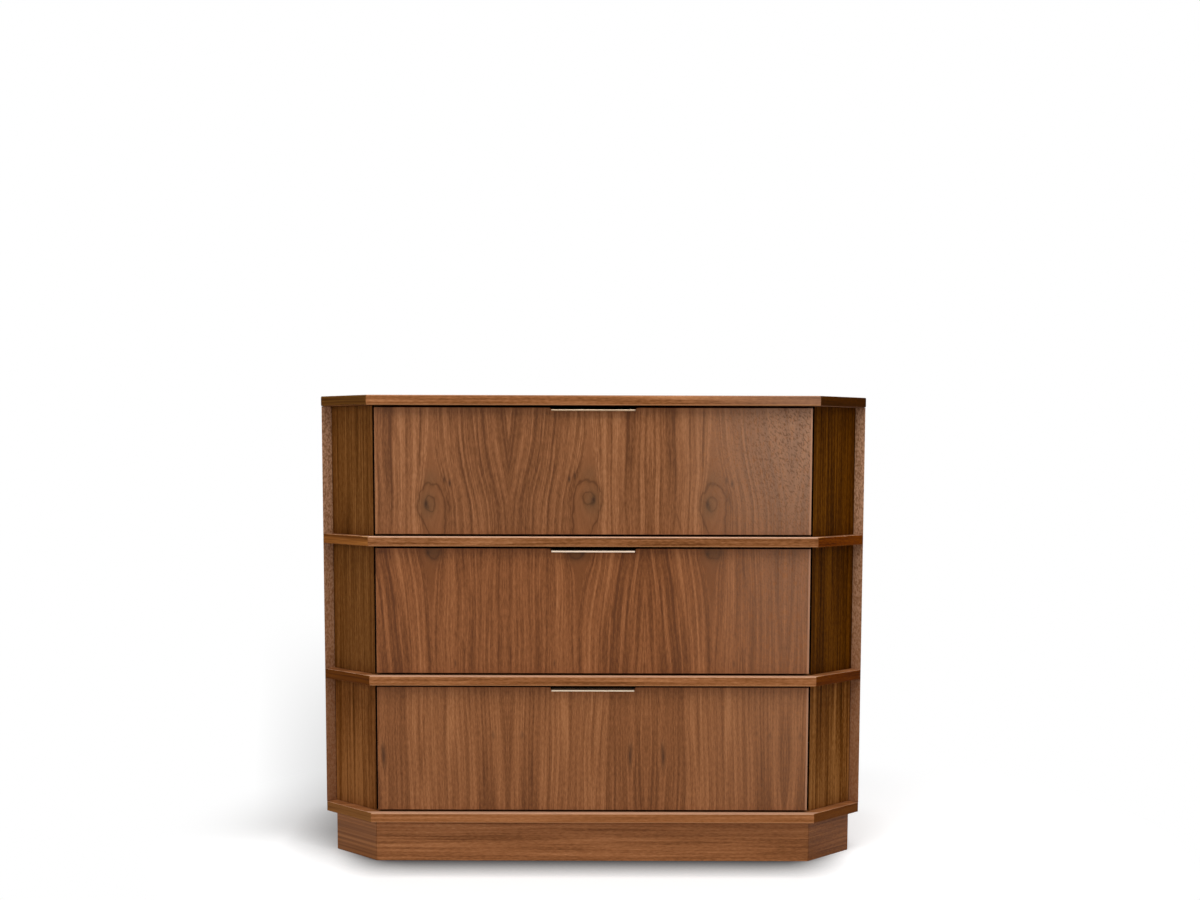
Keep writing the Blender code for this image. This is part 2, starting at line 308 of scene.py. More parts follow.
floor_mesh = bpy.data.meshes.new("floor")
corners = [(x * FLOOR_REACH, y * FLOOR_REACH, 0) for x, y in ((-1, -1), (1, -1), (1, 1), (-1, 1))]
floor_mesh.from_pydata(corners, [], [(0, 1, 2, 3)])
floor = bpy.data.objects.new("floor", floor_mesh)
bpy.context.scene.collection.objects.link(floor)
print("floor", 2 * FLOOR_REACH, "m wide")

# %% Where each shade and glow lies, in metres, and how strong it is
PAPER_WHITE = tint(240, 240, 240)
FLOOR_GLOW = 0.28
LIT_SIDE_GLOW = 0.28
CONTACT_REACH = 0.130
CONTACT_POWER = 2.7
ROOM_REACH = 0.42
ROOM_SHADE = 0.70
OCCLUSION_SAMPLES = 16
CAST_EDGE = -0.5
CAST_ROUND = 0.09
CAST_WIDTH, CAST_SPREAD = 0.20, 0.20
CAST_SHADE = 0.48
CAST_START, CAST_FULL, CAST_FADE, CAST_END = -0.05, 0.60, 0.6, 4.4
FORE_GLOW = 0.22
FORE_START, FORE_END = -0.14, 0.10
LIT_SIDE_START, LIT_SIDE_END = 0.36, 0.52
LIT_SIDE_CLEARED = 0.9
SHADOW_SIDE_START, SHADOW_SIDE_END = 0.38, 0.50
REAR_START, REAR_END = -0.16, 0.04
OPEN_START, OPEN_END = -0.06, 0.10
OPEN_THINNED, OPEN_REAR_THINNED = 0.5, 0.2
FADE_CENTRE = 0.14
FADE_START, FADE_END = 0.62, 1.02
print("the floor fades into the backdrop by", FADE_END, "m out")

# %% Shades and glow of the floor
paper = Finish("white paper sweep")
x, y, z = paper.place()
away = ((x - FADE_CENTRE) * (x - FADE_CENTRE) + y * y) ** 0.5
seen = [paper.node("ShaderNodeLightPath", {}, {}, output=f"Is {kind} Ray")
        for kind in ("Camera", "Glossy", "Transmission")]
watched = seen[0].largest(seen[1]).largest(seen[2])
crowded, roomy = [
    paper.node("ShaderNodeAmbientOcclusion", {"samples": OCCLUSION_SAMPLES}, {"Distance": reach},
               output="AO")
    for reach in (CONTACT_REACH, ROOM_REACH)
]
lit_side = x.rise(LIT_SIDE_START, LIT_SIDE_END)
shadow_side = (-x).rise(SHADOW_SIDE_START, SHADOW_SIDE_END)
open_side = shadow_side * (OPEN_THINNED + y.rise(OPEN_START, OPEN_END) * OPEN_REAR_THINNED)
near = (1.0 - crowded ** CONTACT_POWER) * (1.0 - lit_side * LIT_SIDE_CLEARED) * (1.0 - open_side)
wide = (1.0 - roomy) * shadow_side * y.rise(REAR_START, REAR_END) * ROOM_SHADE
# Painted shadow: a broad band behind the case at its left end.
from_edge = ((x - CAST_EDGE) * (x - CAST_EDGE) + CAST_ROUND * CAST_ROUND) ** 0.5
aside = from_edge / (y.largest(0.0) * CAST_SPREAD + CAST_WIDTH)
behind = y.rise(CAST_START, CAST_FULL) * (1.0 - y.rise(CAST_FADE, CAST_END))
painted_cast = (1.0 - aside).largest(0.0) * behind * CAST_SHADE
far_shade = 1.0 - painted_cast * watched
shade = (1.0 - near * watched) * (1.0 - wide * watched) * far_shade
matt = [("Emission Strength", 1.0), ("Specular IOR Level", 0.0)]
paper.surface(paper.blend(shade, BLACK, PAPER_WHITE), 1.0, constants=matt)
# Painted light: more glow at the right end and in front of the left corner.
fore = shadow_side * (1.0 - y.rise(FORE_START, FORE_END))
glow = FLOOR_GLOW + lit_side * LIT_SIDE_GLOW + fore * FORE_GLOW
paper.plug(paper.shader.inputs["Emission Color"], paper.blend(shade * watched * glow, BLACK, WHITE))
beyond = paper.node("ShaderNodeEmission", {}, {"Color": paper.blend(far_shade, BLACK, WHITE)})
fade = away.rise(FADE_START, FADE_END) * watched
joined = paper.mix_shaders(fade, Wire(paper, paper.shader.outputs[0]), beyond)
paper.plug(paper.tree.nodes["Material Output"].inputs["Surface"], joined)
floor_mesh.materials.append(paper.material)
print("nodes in the floor's material:", len(paper.tree.nodes))

# %% [markdown]
# ## Light
#
# The photograph is lit by broad, soft sources. The main one stands in front and to the left, a
# second at the right throws some shadow off to the left of the foot and some sheen on the
# right-hand ends of the fronts, and the shelf tops catch some light from above. More of that shadow
# is painted on the floor, and more of that sheen and of the shelves' highlights is painted into the
# wood. Area lamps give that softness, and a dim white world fills the recesses.

# %% Lamps
AIM = (0, 0, 0.45)


def softbox(name, place, width, height, power):
    lamp = bpy.data.lights.new(name, "AREA")
    lamp.shape = "RECTANGLE"
    lamp.size = width
    lamp.size_y = height
    lamp.energy = power
    holder = bpy.data.objects.new(name, lamp)
    holder.location = place
    holder.rotation_euler = (Vector(AIM) - Vector(place)).to_track_quat("-Z", "Y").to_euler()
    bpy.context.scene.collection.objects.link(holder)
    print(name, "lamp", round((Vector(AIM) - Vector(place)).length, 2), "m away")


softbox("front left", (-2.0, -3.6, 1.9), 2.0, 1.8, 41)
softbox("right", (2.7, -1.7, 2.1), 1.0, 1.0, 16)
softbox("overhead", (0.0, -1.3, 3.0), 2.6, 1.2, 56)

# %% World
WORLD_FILL = 0.24

world = bpy.data.worlds.new("studio")
bpy.context.scene.world = world
world.use_nodes = True
room = Net(world.node_tree)
fill = room.tree.nodes["Background"]
fill.inputs["Color"].default_value = WHITE
fill.inputs["Strength"].default_value = WORLD_FILL
backdrop = room.node("ShaderNodeBackground", {}, {"Color": WHITE})
to_camera = room.node("ShaderNodeLightPath", {}, {}, output="Is Camera Ray")
choice = room.mix_shaders(to_camera, Wire(room, fill.outputs[0]), backdrop)
room.plug(room.tree.nodes["World Output"].inputs["Surface"], choice)
print("world fill:", WORLD_FILL)

# %% [markdown]
# ## Walnut
#
# Walnut veneer is sliced from a log, so its lines are the growth rings cut along their length:
# long streaks a few millimetres apart, in slow bands of darker and paler wood, with short dark
# pores between. The grain is a stack of stretched noises, each about one feature wide across the
# grain and many times as long. A wave texture would repeat too evenly for real wood.

# %% Grain
WALNUT = [
    (0.00, tint(96, 56, 28)),
    (0.25, tint(115, 70, 37)),
    (0.50, tint(132, 83, 48)),
    (0.75, tint(146, 95, 58)),
    (1.00, tint(163, 110, 71)),
]
SLOW_PITCH, LINE_PITCH, HAIR_PITCH, VEIN_PITCH, PORE_PITCH = 0.021, 0.0058, 0.0036, 0.014, 0.0019
SLOW_PART, LINE_PART, HAIR_PART, PORE_PART, VEIN_PART = 0.75, 1.15, 1.15, 1.10, 0.24
VEIN_WIDTH = 0.012
PORE_START, PORE_END = 0.04, 0.16
SEED_STEP = 7.3


def streaks(finish, across, along, drift, pitch, stretch, detail=1.0):
    """Noise about 0, in streaks about pitch wide and stretch times as long."""
    spot = finish.vector(across / pitch, along / (pitch * stretch), drift)
    return finish.noise(spot, detail) - 0.5


def walnut(finish, across, along, drift, seed, band=0.5, coarse=1.0, fibre=None):
    """Tone from 0, dark, to 1, pale, and the relief of the open pores.

    band is the slow tone, and fibre places the pores where the lines bend and they don't.
    """
    shift = seed * SEED_STEP
    slow = streaks(finish, across, along, drift + shift, SLOW_PITCH * coarse, 18)
    line = streaks(finish, across, along, drift + shift + 3.1, LINE_PITCH * coarse, 60)
    hair = streaks(finish, across, along, drift + shift + 5.7, HAIR_PITCH, 60, 2.0)
    dark = streaks(finish, across, along, drift + shift + 9.4, VEIN_PITCH * coarse, 70, 0.0)
    fleck = streaks(finish, across if fibre is None else fibre, along, shift, PORE_PITCH, 5, 2.0)
    vein = abs(dark).falloff(VEIN_WIDTH)
    tone = band + slow * SLOW_PART + line * LINE_PART + hair * HAIR_PART + fleck * PORE_PART
    return tone - vein * VEIN_PART, fleck.rise(PORE_START, PORE_END)


print("walnut tones:", len(WALNUT), "stops")

# %% Lacquer
PORE_DULLS = 0.10
GRAIN_RELIEF = 0.4
LACQUER_DEPTH = 0.0001


def lacquered(finish, colour, tone, pore, shine, dull=0.44):
    """Satin lacquer over the veneer. It sinks a little into the pores, which are duller."""
    relief = tone * GRAIN_RELIEF - pore
    sheen = [("Specular IOR Level", shine)]
    return finish.surface(colour, dull + pore * PORE_DULLS, relief, LACQUER_DEPTH, sheen)


print("lacquer follows the pores", LACQUER_DEPTH * 1000, "mm deep")

# %% [markdown]
# ## Book-matched drawer fronts
#
# Each front is faced with leaves of veneer cut one after the other from the same log and opened
# like a book, so the figure mirrors at every seam. A ping-pong of the width does the same: it
# counts up across one leaf and down across the next. A knot pushes the grain lines aside, further
# the nearer they run, and that bend alone draws the pointed arches above it. Inside the arch the
# lines close into rings round the knot. Reading the noise along the bent lines, and not along
# straight ones, carries bands, lines and veins round together.

# %% Grain that bends round a knot
HEART_ROUNDING = 0.003
FAN_REACH = 0.030


def bend_round(finish, off, along, knots, eyes, fan):
    """Distance from the upright axis, bent: below 0 inside an arch. off is 0 on the axis."""
    near = (off * off + HEART_ROUNDING ** 2) ** 0.5
    outward = off > 0
    bent = near
    for height, push, reach, above, below in knots:
        lift = along - height
        span = below + (lift > 0) * (above - below)
        strength = push / (1.0 + (lift / span) * (lift / span))
        reach_here = reach[0] + outward * (reach[1] - reach[0])
        bent = bent - strength * (-near / reach_here).exp()
    for height, sideways, width, tall, depth in eyes:
        bent = bent - round_spot(off - sideways, along - height, width, tall) * depth
    side, spread, low, high, at_top = fan
    leaning = outward if side > 0 else 1.0 - outward
    climb = along.rise(low, high) if at_top else 1.0 - along.rise(low, high)
    return bent - leaning * climb * (1.0 - (-near / FAN_REACH).exp()) * spread


def round_spot(aside, lift, width, tall):
    """A soft spot, 1 at its middle, tall times as high as it is wide."""
    lift = lift / tall
    return ((aside * aside + lift * lift) ** 0.5).falloff(width)


print("an axis is rounded over", HEART_ROUNDING, "m")

# %% [markdown]
# ## What each front shows
#
# The figure changes from front to front, so each has a short list of its own: where a seam lies
# and where the axis runs in a leaf, the arches, the eyes, the way the lines lean, the dark specks,
# and the slow tone across the leaf. The top front has a full knot in every leaf, the middle one
# only the tail of it at its top edge, and the bottom one is nearly straight.
#
# The lists are in metres, and heights are above the floor. An arch has its height, how far it
# pushes the lines, its reach on either side of the axis, and its length above and below. An eye,
# a halo and a speck have a height, a place beside the axis, a width, how many times as tall they
# are, and a strength. A ring has a strength too, and then how far its lower half is drawn in and
# how round it is. The bands are pairs of millimetres into the leaf and the tone there.

# %% Figure of the three fronts
LEAF = 0.257
SEAM = {"top": 0.1039, "middle": 0.0950, "bottom": 0.0992}
AXIS = {"top": 0.111, "middle": 0.124, "bottom": 0.029}
ARCHES = {
    "top": [(0.650, 0.025, (0.016, 0.300), 0.080, 0.400)],
    "middle": [(0.600, 0.016, (0.300, 0.016), 0.200, 0.080)],
    "bottom": [(0.196, 0.004, (0.012, 0.012), 0.030, 0.030)],
}
EYES = {
    "top": [(0.660, 0.003, 0.021, 1.7, 0.022), (0.664, 0.002, 0.009, 1.3, 0.010)],
    "middle": [(0.580, 0.000, 0.020, 1.2, 0.020)],
    "bottom": [(0.196, 0.000, 0.005, 3.0, 0.005)],
}
FANS = {
    "top": (1, 0.017, 0.56, 0.88, False),
    "middle": (-1, 0.013, 0.34, 0.62, True),
    "bottom": (1, 0.004, 0.10, 0.33, False),
}
SPECKS = {
    "top": [(0.6655, -0.0075, 0.0036, 1.9, 0.80), (0.6585, -0.004, 0.0040, 1.2, 0.40),
            (0.710, 0.0275, 0.0022, 3.0, 0.60), (0.703, 0.0375, 0.0026, 2.4, 0.80)],
    "middle": [(0.577, -0.008, 0.0040, 2.0, 0.50), (0.572, 0.006, 0.0120, 1.2, 0.18),
               (0.372, 0.041, 0.0020, 3.0, 0.45)],
    "bottom": [(0.198, 0.000, 0.0034, 5.5, 0.70), (0.214, -0.003, 0.0024, 5.0, 0.40),
               (0.238, 0.200, 0.0028, 2.5, 0.40)],
}
RINGS = {
    "top": [(0.6585, 0.003, 0.0262, 1.66, 0.42, 0.56, 0.0),
            (0.6660, 0.001, 0.0100, 1.25, 0.44, 0.0, 1.25)],
    "middle": [(0.584, 0.003, 0.0150, 1.15, 0.36, 0.0, 1.15)],
    "bottom": [],
}
HALOS = {
    "top": [(0.662, -0.005, 0.0165, 1.6, 0.62), (0.712, 0.001, 0.0150, 1.0, 0.36)],
    "middle": [(0.580, 0.002, 0.0170, 1.1, 0.45)],
    "bottom": [],
}
LEAF_LIFT = {"top": 0.008, "middle": 0.0, "bottom": 0.0}
WARMTH = {"top": (1.0, 0.985, 0.99), "middle": (1.0, 0.90, 0.80), "bottom": (1.0, 0.945, 0.87)}
BANDS = {
    "top": [(0, 0.50), (14, 0.55), (25, 0.31), (40, 0.26), (50, 0.58), (60, 0.70), (70, 0.48),
            (80, 0.72), (94, 0.60), (111, 0.48), (135, 0.62), (160, 0.46), (200, 0.38),
            (257, 0.44)],
    "middle": [(0, 0.48), (30, 0.35), (50, 0.24), (63, 0.28), (78, 0.57), (108, 0.58),
               (124, 0.38), (138, 0.36), (152, 0.56), (180, 0.48), (200, 0.32), (230, 0.34),
               (257, 0.28)],
    "bottom": [(0, 0.56), (18, 0.42), (38, 0.42), (60, 0.36), (74, 0.44), (90, 0.68),
               (104, 0.70), (150, 0.66), (180, 0.58), (200, 0.45), (230, 0.50), (257, 0.44)],
}
print("leaves", LEAF, "m wide, seams at", SEAM)

# %% [markdown]
# ## The face of a drawer front
#
# The veneer stops at a solid lipping. Only at the right-hand end is a thin paler line painted along
# it, a painted highlight where the edge catches the lamp at the right. At that end a sheen is
# painted into the colour too, in which the open pores show as fine flecks, so the wood looks greyer
# there.
# Just under the top edge the face is painted a little darker, as shade under the board above. The
# edges of the board are painted dark brown, as shade in the gaps, so the gaps round a closed drawer
# read as dark lines.
#
# The work is in three steps: the tone of the leaves, the rings drawn over it, and the colours.

# %% Tone of the matched leaves
WANDER_ACROSS, WANDER_ALONG, WANDER = 0.055, 0.16, 0.011
RING_DRIFT = 0.012
CALM = 0.65
CALM_START, CALM_END = -0.001, 0.004


def matched_leaves(finish, tier):
    """The place in the figure, the distance from the leaf's axis, the tone and the pores."""
    x, y, rise = finish.place()
    leaf = finish.node("ShaderNodeMath", {"operation": "PINGPONG"}, {0: x - SEAM[tier], 1: LEAF})
    turned_leaf = (x > SEAM[tier] - LEAF) * (x < SEAM[tier])
    z = rise - turned_leaf * LEAF_LIFT[tier]
    wander = finish.noise(finish.vector(x / WANDER_ACROSS, y, z / WANDER_ALONG), 0.0) - 0.5
    off = leaf - AXIS[tier] + wander * WANDER
    bent = bend_round(finish, off, z, ARCHES[tier], EYES[tier], FANS[tier])
    outside = bent.largest(0.0)
    inside = bent.smallest(0.0)
    level = AXIS[tier] + ((off > 0) * 2.0 - 1.0) * outside
    stops = [(at / 1000 / LEAF, (tone, tone, tone, 1)) for at, tone in BANDS[tier]]
    band = finish.ramp(level / LEAF, stops)
    seed = TIERS.index(tier) + 1
    drift = inside / RING_DRIFT + wander * 0.6
    tone, pore = walnut(finish, level, z, drift, seed, band, 1.0, leaf)
    tone = band + (tone - band) * (1.0 - (-inside).rise(CALM_START, CALM_END) * CALM)
    return (x, y, z), off, tone, pore


print("leaves wander up to", WANDER / 2, "m from straight")

# %% Rings round the knots
RING_LINE, RING_SOFT, SOFT_SHARE = 0.0014, 0.0050, 0.3
WOBBLE_ACROSS, WOBBLE_ALONG, WOBBLE = 0.012, 0.018, 0.010
DRAWN_OVER = 0.012
DRAWN_START, DRAWN_END = -0.008, 0.022


def ring_lines(finish, place, off, tone, rings):
    """Darkens the tone along uneven rings, each a thin line with a soft one under it."""
    x, y, z = place
    wobble = finish.noise(finish.vector(x / WOBBLE_ACROSS, y, z / WOBBLE_ALONG), 1.0) - 0.5
    for height, sideways, radius, tall, strength, drawn_in, round_below in rings:
        aside = off - sideways
        lift = z - height
        below = (-lift).largest(0.0)
        drawn = 1.0 - aside.rise(DRAWN_START, DRAWN_END)
        aside = aside - below * below / (below + DRAWN_OVER) * drawn_in * drawn
        lift = lift.largest(0.0) / tall + (below / round_below if round_below else 0.0)
        rim = (aside * aside + lift * lift) ** 0.5 - radius + wobble * WOBBLE
        tone = tone - (rim.falloff(RING_LINE) + rim.falloff(RING_SOFT) * SOFT_SHARE) * strength
    return tone


print("rings:", sum(len(rings) for rings in RINGS.values()))

# %% Colours of a drawer front
RIGHT_GLINT_WIDTH, RIGHT_GLINT_SHARE = 0.0036, 0.7
RIGHT_GLINT_WALNUT = tint(182, 134, 104)
GAP_SHADE_BROWN = tint(54, 33, 20)
GAP_SHADE_SHARE = 0.9
GAP_SHADE_START, GAP_SHADE_END = 0.75, 0.97
PORE_BROWN = tint(84, 54, 36)
KNOT_BROWN = tint(98, 68, 41)
SPECK_BROWN = tint(46, 28, 16)
TOP_SHADE_BAND, TOP_SHADE_DEPTH = 0.010, 0.06
SHEEN_COLOUR = tint(184, 146, 120)
SHEEN_SHARE = {"top": 0.50, "middle": 0.22, "bottom": 0.10}
SHEEN_START, SHEEN_END = 0.10, 0.42
SHEEN_BELOW = 0.25
GRIT_ACROSS, GRIT_ALONG = 0.0030, 0.0054
GRIT_TONE, GRIT_DARK, GRIT_ROUGH = 2.4, 1.5, 0.7
PORE_CLEARS = 0.6
FRONT_SHINE = 0.16
GRIT_START, GRIT_END = 0.50, 0.62


def drawer_front(tier):
    """Matched leaves on the face, with painted sheen and highlight at the right and painted shade.
    """
    finish = Finish(f"{tier} drawer front walnut")
    low, high = front_box[tier]
    place, off, tone, pore = matched_leaves(finish, tier)
    x, y, z = place
    tone = ring_lines(finish, place, off, tone, RINGS[tier])
    # Painted shade: a band just under the top edge is darker, as shade under the board above.
    tone = tone - (z > high.z - TOP_SHADE_BAND) * TOP_SHADE_DEPTH
    # Painted sheen: the right-hand ends are lifted towards a pale grey, with pores as flecks in it.
    sheen_amount = x.rise(SHEEN_START, SHEEN_END) * z.rise(low.z - SHEEN_BELOW, high.z) * SHEEN_SHARE[tier]
    grit_spot = finish.vector((x + z * 0.5) / GRIT_ACROSS, y, z / GRIT_ALONG)
    grit = finish.noise(grit_spot, 2.0, GRIT_ROUGH)
    colour = finish.ramp(tone + (grit - 0.5) * sheen_amount * GRIT_TONE, WALNUT)
    colour = finish.blend(1.0, colour, (*WARMTH[tier], 1), "MULTIPLY")
    for brown, spots in ((KNOT_BROWN, HALOS[tier]), (SPECK_BROWN, SPECKS[tier])):
        for height, sideways, width, tall, strength in spots:
            spot = round_spot(off - sideways, z - height, width, tall) * strength
            colour = finish.blend(spot, colour, brown)
    # The painted sheen is blended in here, a little less in the pores.
    colour = finish.blend(sheen_amount * (1.0 - pore * PORE_CLEARS), colour, SHEEN_COLOUR)
    dark_grit = grit.rise(GRIT_START, GRIT_END) * sheen_amount * GRIT_DARK
    colour = finish.blend(dark_grit, colour, PORE_BROWN)
    # Painted highlight: a thin paler line along the right-hand edge, where it catches the lamp.
    colour = finish.blend((high.x - x < RIGHT_GLINT_WIDTH) * RIGHT_GLINT_SHARE, colour, RIGHT_GLINT_WALNUT)
    facing_x, facing_y, facing_z = finish.facing()
    # Painted shade: the board's edges and roundings, which lie in the gaps, are painted dark brown.
    gap_shade = GAP_SHADE_SHARE - abs(facing_y).rise(GAP_SHADE_START, GAP_SHADE_END) * GAP_SHADE_SHARE
    colour = finish.blend(gap_shade, colour, GAP_SHADE_BROWN)
    return lacquered(finish, colour, tone, pore, FRONT_SHINE)


def dress(name, material):
    nodes[name].data.materials.clear()
    nodes[name].data.materials.append(material)


for tier in TIERS:
    dress(f"{tier}_drawer_front", drawer_front(tier))
print("fronts veneered:", len(front_box))

# %% [markdown]
# ## Straight-grained boards
#
# The angled corner panels and the outer sides have upright grain. The shelves, the top and the
# plinth have grain along their length, and their front bands are strips of their own, so the grain
# turns at each corner with the board. The angled panels and the bands that look sideways are
# painted darker than the front ones, as shade, and most of those at the right darker still. The
# outer sides show their cut front edges as narrow stiles, which are paler, partly as a painted
# sheen, and mottled, and darker towards the foot.
#
# The rounded long edges of the shelves and the slab catch the light in the photograph, the upper
# ones as a bright line and the lower ones as a faint one. They are less than two pixels wide, so
# a lamp alone doesn't bring them out, and the colour of the rounding is lifted where it faces up
# or down. So is the strip of upper face that lies in front of the drawers.

# %% Upright panels
SHADED_CANT_LEFT = [(0.0, tint(77, 42, 8)), (0.5, tint(108, 65, 26)), (1.0, tint(138, 90, 45))]
SHADED_LOW_CANT_LEFT = [(0.0, tint(80, 43, 8)), (0.5, tint(114, 67, 28)), (1.0, tint(148, 95, 50))]
SHADED_CANT_RIGHT = [(0.0, tint(42, 18, 0)), (0.5, tint(81, 42, 0)), (1.0, tint(116, 68, 8))]
SHADED_LOW_CANT_RIGHT = [(0.0, tint(62, 30, 0)), (0.5, tint(113, 66, 22)), (1.0, tint(158, 105, 54))]
OUTER_SIDE = [(0.0, tint(92, 56, 33)), (0.5, tint(132, 86, 54)), (1.0, tint(168, 118, 80))]
STILE_PALE_SHEEN, STILE_DARK = tint(202, 156, 122), tint(140, 96, 64)
STILE_LOW = tint(142, 92, 56)
STILE_LOW_SHARE = 0.75
STILE_LOW_START, STILE_LOW_END = 0.10, 0.80
MOTTLE_PITCH, MOTTLE_TALL = 0.0032, 0.0050
MOTTLE_START, MOTTLE_END = 0.28, 0.72
FOOT_LIGHT = 0.26
FOOT_START, FOOT_END = 0.11, 0.33


def upright(name, seed, sign, stops, shine=0.02, stile=0.0):
    """Grain that climbs. sign is the board's side, and stile its pale edge, partly a painted sheen.
    """
    finish = Finish(name)
    x, y, z = finish.place()
    facing_x, facing_y, facing_z = finish.facing()
    tone, pore = walnut(finish, x + y * sign, z, seed * 1.3, seed, 0.5, 1.15)
    foot = 1.0 - z.rise(FOOT_START, FOOT_END)
    colour = finish.ramp(tone + foot * (FOOT_LIGHT if stile == 0.0 else 0.0), stops)
    spot = finish.vector(x / MOTTLE_PITCH, y / MOTTLE_PITCH, z / MOTTLE_TALL)
    mottle = finish.noise(spot, 2.0).rise(MOTTLE_START, MOTTLE_END)
    # Paler stiles, partly a painted sheen, mottled between pale and dark.
    end_wood = finish.blend(mottle, STILE_PALE_SHEEN, STILE_DARK)
    low_down = (1.0 - z.rise(STILE_LOW_START, STILE_LOW_END)) * STILE_LOW_SHARE
    end_wood = finish.blend(low_down, end_wood, STILE_LOW)
    colour = finish.blend((facing_y < -0.3) * stile, colour, end_wood)
    # Painted shade: the inner end face beside a drawer's gap is painted dark brown.
    colour = finish.blend(facing_x * sign < -0.9, colour, GAP_SHADE_BROWN)
    return lacquered(finish, colour, tone, pore, shine, dull=0.46)


for side, sign in SIDES:
    outer = upright(f"{side} side walnut", 11 + sign, sign, OUTER_SIDE, 0.15, 1.0)
    dress(f"side_panel_{side}", outer)
    for tier in TIERS:
        seed = 20 + 3 * TIERS.index(tier) + sign
        # The angled panels' colours carry painted shade, darkest on most of the right-hand ones.
        low_stops = SHADED_LOW_CANT_LEFT if sign < 0 else SHADED_LOW_CANT_RIGHT
        high_stops = SHADED_CANT_LEFT if sign < 0 else SHADED_CANT_RIGHT
        stops = low_stops if tier == "bottom" else high_stops
        dress(f"{tier}_cant_panel_{side}", upright(f"{tier} {side} cant walnut", seed, sign, stops))
print("upright panels:", 2 + 2 * len(TIERS))

# %% Boards with grain along the width
SHADED_BAND_LEFT = {"top_slab": (0.385, 0.38, 0.19, 1), "upper_divider": (0.98, 0.88, 0.50, 1),
             "lower_divider": (0.37, 0.26, 0.06, 1), "base_shelf": (0.63, 0.64, 0.46, 1)}
SHADED_BAND_RIGHT = {"top_slab": (0.19, 0.105, 0.0, 1), "upper_divider": (0.62, 0.35, 0.0, 1),
              "lower_divider": (0.38, 0.21, 0.0, 1), "base_shelf": (0.46, 0.36, 0.14, 1)}
SLAB_SHEEN, SLAB_SHEEN_SHARE = tint(136, 110, 94), 0.40
LIT_ARRIS = tint(234, 190, 160)
LIT_STRIP_START, LIT_STRIP_END = 0.012, 0.015
UNDER_ARRIS, UNDER_SHARE = tint(186, 130, 86), 0.7
BOARD_COARSE = 0.9
BOARD_SHINE = 0.02


def along_board(name, gain, contrast, glint):
    """Grain that runs with the width, turning at the corners. gain lifts or lowers the colour."""
    finish = Finish(f"{name} walnut")
    x, y, z = finish.place()
    facing_x, facing_y, facing_z = finish.facing()
    flat = abs(facing_z) > 0.7
    canted = (abs(facing_x) > 0.4) * (facing_y < -0.3)
    across = z + flat * (y - z)
    run = x + canted * y * 1.2
    tone, pore = walnut(finish, across, run, y * 2.0, len(name) * 1.1, 0.5, BOARD_COARSE)
    colour = finish.ramp((tone - 0.5) * contrast + 0.5, WALNUT)
    colour = finish.blend(1.0, colour, (gain, gain, gain, 1), "MULTIPLY")
    if name == "top_slab":
        # Painted sheen: the slab's right-hand end is lifted towards a pale grey.
        slab_sheen = x.rise(SHEEN_START, SHEEN_END) * SLAB_SHEEN_SHARE
        colour = finish.blend(slab_sheen, colour, SLAB_SHEEN)
    square = abs(facing_x) < 0.3
    upper = facing_z.rise(0.0, 0.6) * (facing_z < 0.98) * square * glint
    # Painted highlight: the upper rounding and the strip of upper face in front of the drawers.
    in_front = 1.0 - y.rise(case_front + LIT_STRIP_START, case_front + LIT_STRIP_END)
    lip = flat * (facing_z > 0) * in_front * glint
    colour = finish.blend(upper.largest(lip), colour, LIT_ARRIS)
    # Painted highlight, fainter: the lower rounding is lifted towards a pale brown.
    lower = (facing_z < -0.2) * (facing_z > -0.80) * square
    colour = finish.blend(lower * UNDER_SHARE, colour, UNDER_ARRIS)
    # Painted shade: the canted ends are multiplied darker, most of the right-hand ones more.
    shaded = finish.blend(facing_x > 0, SHADED_BAND_LEFT[name], SHADED_BAND_RIGHT[name])
    colour = finish.blend(canted, colour, finish.blend(1.0, colour, shaded, "MULTIPLY"))
    return lacquered(finish, colour, tone, pore, BOARD_SHINE)


LEVEL_BOARDS = {"top_slab": (1.22, 1.0, 0.25), "upper_divider": (1.08, 1.2, 0.72),
                "lower_divider": (1.28, 1.0, 0.50), "base_shelf": (1.34, 0.65, 0.44)}
for name, (gain, contrast, glint) in LEVEL_BOARDS.items():
    dress(name, along_board(name, gain, contrast, glint))
print("level boards:", len(LEVEL_BOARDS))

# %% Plinth boards
# The angled plinth boards are painted darker than the front, as shade, the right one most.
PLINTH_TONES_AND_SHADE = {"plinth_front": (1.24, 1.22, 1.18), "plinth_cant_left": (0.98, 0.92, 0.74),
                 "plinth_cant_right": (0.92, 0.82, 0.62), "plinth_side_left": (1.0, 1.0, 1.0),
                 "plinth_side_right": (1.0, 1.0, 1.0)}
PLINTH_CONTRAST = 0.8
PLINTH_SHINE = 0.12


def plinth_board(name, gain):
    finish = Finish(f"{name} walnut")
    x, y, z = finish.place()
    tone, pore = walnut(finish, z, x + y, y * 2.0, 31, 0.5, BOARD_COARSE)
    colour = finish.ramp((tone - 0.5) * PLINTH_CONTRAST + 0.5, WALNUT)
    colour = finish.blend(1.0, colour, (*gain, 1), "MULTIPLY")
    return lacquered(finish, colour, tone, pore, PLINTH_SHINE)


for name, gain in PLINTH_TONES_AND_SHADE.items():
    dress(name, plinth_board(name, gain))
print("plinth boards:", len(PLINTH_TONES_AND_SHADE))

# %% [markdown]
# ## Birch boxes and plywood
#
# Drawer boxes are usually made of birch, a pale and nearly plain wood, and their bottoms and the
# walls that carry the slides of plywood. Plywood shows its plies only on cut edges, as stripes as
# thin as the veneers, so the stripes are switched on where a face looks along the board.

# %% Birch
BIRCH = [(0.0, tint(196, 158, 112)), (0.5, tint(219, 186, 141)), (1.0, tint(234, 206, 166))]
PLY = 0.0015
DARK_PLY, DARK_PLY_SHARE = tint(176, 132, 86), 0.6


